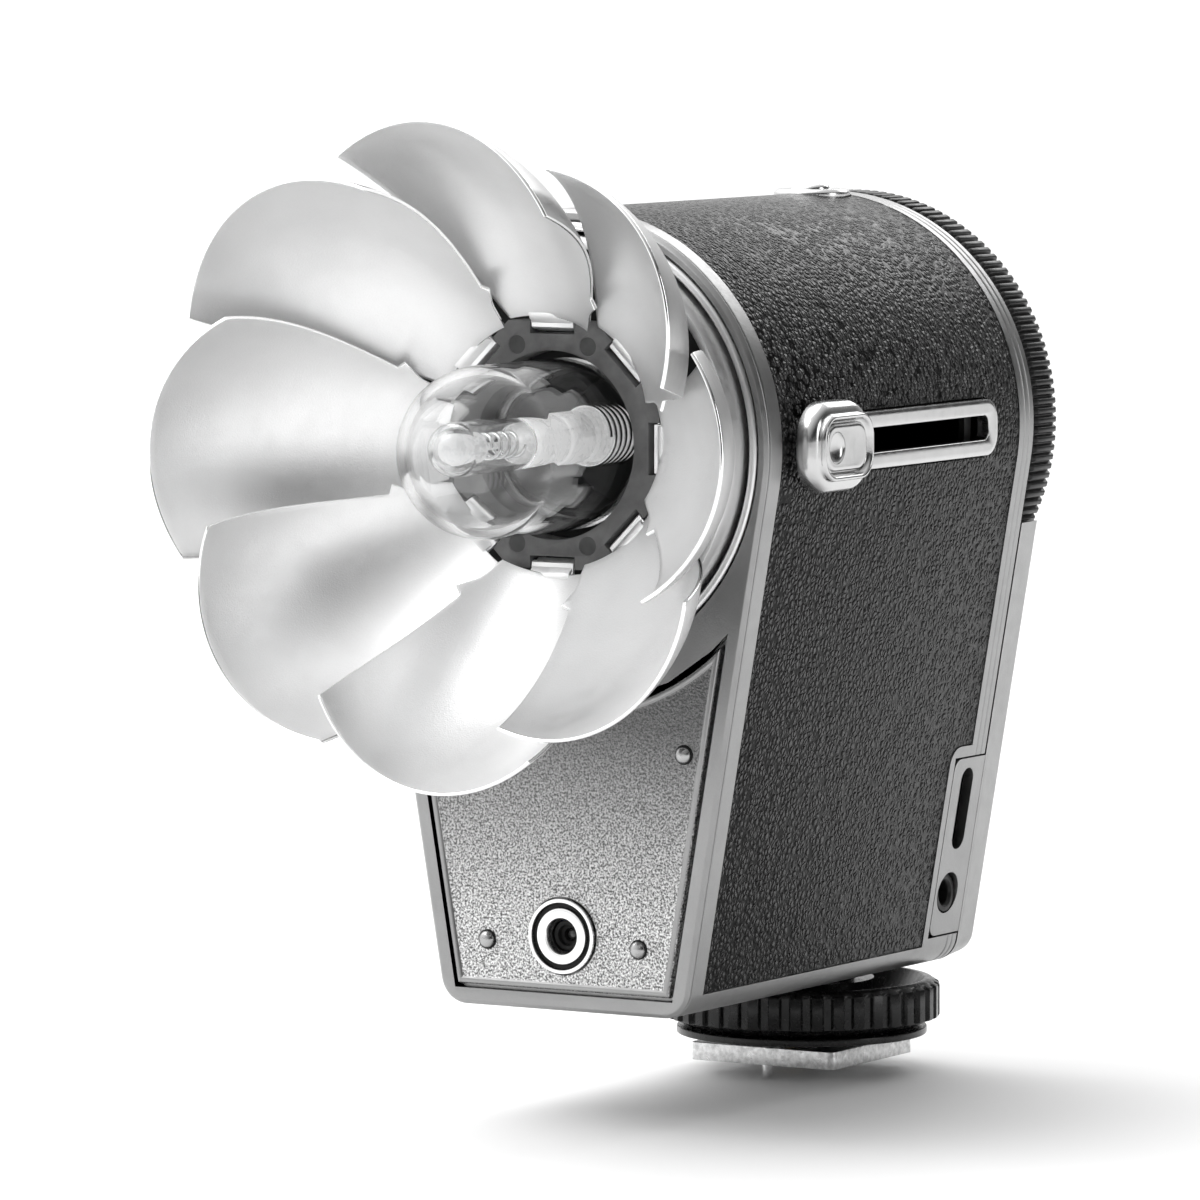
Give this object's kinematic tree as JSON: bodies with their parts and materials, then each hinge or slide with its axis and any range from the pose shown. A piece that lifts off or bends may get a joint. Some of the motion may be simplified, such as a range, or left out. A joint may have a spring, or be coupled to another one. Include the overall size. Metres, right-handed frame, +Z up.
{
  "type": "flash bulb gun",
  "caption": "Shoe-mounted flash with a folding reflector of eight leaves round a glass bulb, leather-covered body, side slide knob, rear dial and hot-shoe lock ring.",
  "frame": {"origin": "centre of the hot-shoe foot's underside", "axes": "+Z up away from the camera, -Y the way the reflector looks, +X the side with the slide knob"},
  "size_m": [0.0714, 0.0958, 0.1097],
  "materials": {
    "satin_silver": "satin, fine brushed grain",
    "grained_silver": "leather-grain embossed, matt",
    "polished_chrome": "polished",
    "reflector_silver": "bead-blasted satin mirror",
    "pebbled_leather": "pebbled black leatherette",
    "black_plastic": "matt black",
    "clear_glass": "clear",
    "circuit_board": "solder mask",
    "battery_wrap": "shrink wrap",
    "gilt_contact": "gilt",
    "red_lamp": "translucent"
  },
  "bodies": {
    "body": {"front_bezel": "satin_silver", "front_plate": "grained_silver", "front_rivet_1": "satin_silver", "front_rivet_2": "satin_silver", "front_rivet_3": "satin_silver", "front_rivet_4": "satin_silver", "sensor_bezel": "satin_silver", "sensor_lens": "black_plastic", "mid_case": "satin_silver", "leather_wrap": "pebbled_leather", "rear_cover": "satin_silver", "rear_bulkhead": "black_plastic", "barrel_collar": "satin_silver", "guide_tube": "satin_silver", "slot_escutcheon": "polished_chrome", "dial_plate": "satin_silver", "test_bezel": "polished_chrome", "usb_port": "satin_silver", "sync_jack": "black_plastic", "ready_lamp": "red_lamp", "battery": "battery_wrap", "capacitor": "black_plastic", "main_board": "circuit_board", "shoe_stem": "black_plastic", "shoe_foot": "satin_silver"},
    "reflector": {"reflector_sleeve": "satin_silver", "hub_ring": "black_plastic", "glass_dome": "clear_glass", "flash_tube": "clear_glass", "lamp_socket": "black_plastic", "trigger_wire": "satin_silver", "slider_knob": "polished_chrome", "petal_pin_1": "satin_silver", "petal_pin_2": "satin_silver", "petal_pin_3": "satin_silver", "petal_pin_4": "satin_silver", "petal_pin_5": "satin_silver", "petal_pin_6": "satin_silver", "petal_pin_7": "satin_silver", "petal_pin_8": "satin_silver"},
    "leaf_1": {"petal_1": "reflector_silver"},
    "leaf_2": {"petal_2": "reflector_silver"},
    "leaf_3": {"petal_3": "reflector_silver"},
    "leaf_4": {"petal_4": "reflector_silver"},
    "leaf_5": {"petal_5": "reflector_silver"},
    "leaf_6": {"petal_6": "reflector_silver"},
    "leaf_7": {"petal_7": "reflector_silver"},
    "leaf_8": {"petal_8": "reflector_silver"},
    "power_dial": {"dial_ring": "black_plastic"},
    "shoe_clamp": {"clamp_washer": "black_plastic", "locating_pin": "satin_silver"},
    "shoe_lock_ring": {"lock_ring": "black_plastic"},
    "test_key": {"test_button": "satin_silver"},
    "power_key": {"power_button": "black_plastic"},
    "hot_contact": {"centre_contact": "gilt_contact"}
  },
  "joints": [
    {"name": "reflector_slide", "type": "slide", "parent": "body", "child": "reflector", "axis": [0, 1, 0], "range_m": [0, 0.03]},
    {"name": "leaf_1_fold", "type": "hinge", "parent": "reflector", "child": "leaf_1", "pos_m": [0.01275, -0.0537, 0.0725], "axis": [0, 0, -1], "range_deg": [0, 36.1]},
    {"name": "leaf_2_fold", "type": "hinge", "parent": "reflector", "child": "leaf_2", "pos_m": [0.00902, -0.0537, 0.08152], "axis": [0.7071, 0, -0.7071], "range_deg": [0, 36.1]},
    {"name": "leaf_3_fold", "type": "hinge", "parent": "reflector", "child": "leaf_3", "pos_m": [0, -0.0537, 0.08525], "axis": [1, 0, 0], "range_deg": [0, 36.1]},
    {"name": "leaf_4_fold", "type": "hinge", "parent": "reflector", "child": "leaf_4", "pos_m": [-0.00902, -0.0537, 0.08152], "axis": [0.7071, 0, 0.7071], "range_deg": [0, 36.1]},
    {"name": "leaf_5_fold", "type": "hinge", "parent": "reflector", "child": "leaf_5", "pos_m": [-0.01275, -0.0537, 0.0725], "axis": [0, 0, 1], "range_deg": [0, 36.1]},
    {"name": "leaf_6_fold", "type": "hinge", "parent": "reflector", "child": "leaf_6", "pos_m": [-0.00902, -0.0537, 0.06348], "axis": [-0.7071, 0, 0.7071], "range_deg": [0, 36.1]},
    {"name": "leaf_7_fold", "type": "hinge", "parent": "reflector", "child": "leaf_7", "pos_m": [0, -0.0537, 0.05975], "axis": [-1, 0, 0], "range_deg": [0, 36.1]},
    {"name": "leaf_8_fold", "type": "hinge", "parent": "reflector", "child": "leaf_8", "pos_m": [0.00902, -0.0537, 0.06348], "axis": [-0.7071, 0, -0.7071], "range_deg": [0, 36.1]},
    {"name": "dial_turn", "type": "hinge", "parent": "body", "child": "power_dial", "pos_m": [0, 0.0109, 0.0725], "axis": [0, 1, 0], "range_deg": [-150, 150]},
    {"name": "clamp_slide", "type": "slide", "parent": "body", "child": "shoe_clamp", "axis": [0, 0, -1], "range_m": [-0.0016, 0.0005]},
    {"name": "lock_ring_turn", "type": "hinge", "parent": "shoe_clamp", "child": "shoe_lock_ring", "pos_m": [0, 0, 0.0064], "axis": [0, 0, -1], "range_deg": [-386, 122]},
    {"name": "test_press", "type": "slide", "parent": "body", "child": "test_key", "axis": [0, 0, -1], "range_m": [0, 0.0006], "stiffness_N_per_m": 600, "springref_m": -0.0008},
    {"name": "power_press", "type": "slide", "parent": "body", "child": "power_key", "axis": [0, -1, 0], "range_m": [0, 0.0006], "stiffness_N_per_m": 600, "springref_m": -0.0008},
    {"name": "contact_press", "type": "slide", "parent": "body", "child": "hot_contact", "axis": [0, 0, 1], "range_m": [0, 0.0004], "stiffness_N_per_m": 500, "springref_m": -0.0006}
  ],
  "couplings": [
    {"joint": "leaf_1_fold", "follows": "reflector_slide", "rad_per_m": 20.944},
    {"joint": "leaf_2_fold", "follows": "reflector_slide", "rad_per_m": 20.944},
    {"joint": "leaf_3_fold", "follows": "reflector_slide", "rad_per_m": 20.944},
    {"joint": "leaf_4_fold", "follows": "reflector_slide", "rad_per_m": 20.944},
    {"joint": "leaf_5_fold", "follows": "reflector_slide", "rad_per_m": 20.944},
    {"joint": "leaf_6_fold", "follows": "reflector_slide", "rad_per_m": 20.944},
    {"joint": "leaf_7_fold", "follows": "reflector_slide", "rad_per_m": 20.944},
    {"joint": "leaf_8_fold", "follows": "reflector_slide", "rad_per_m": 20.944},
    {"joint": "lock_ring_turn", "follows": "clamp_slide", "rad_per_m": 4188.8}
  ]
}
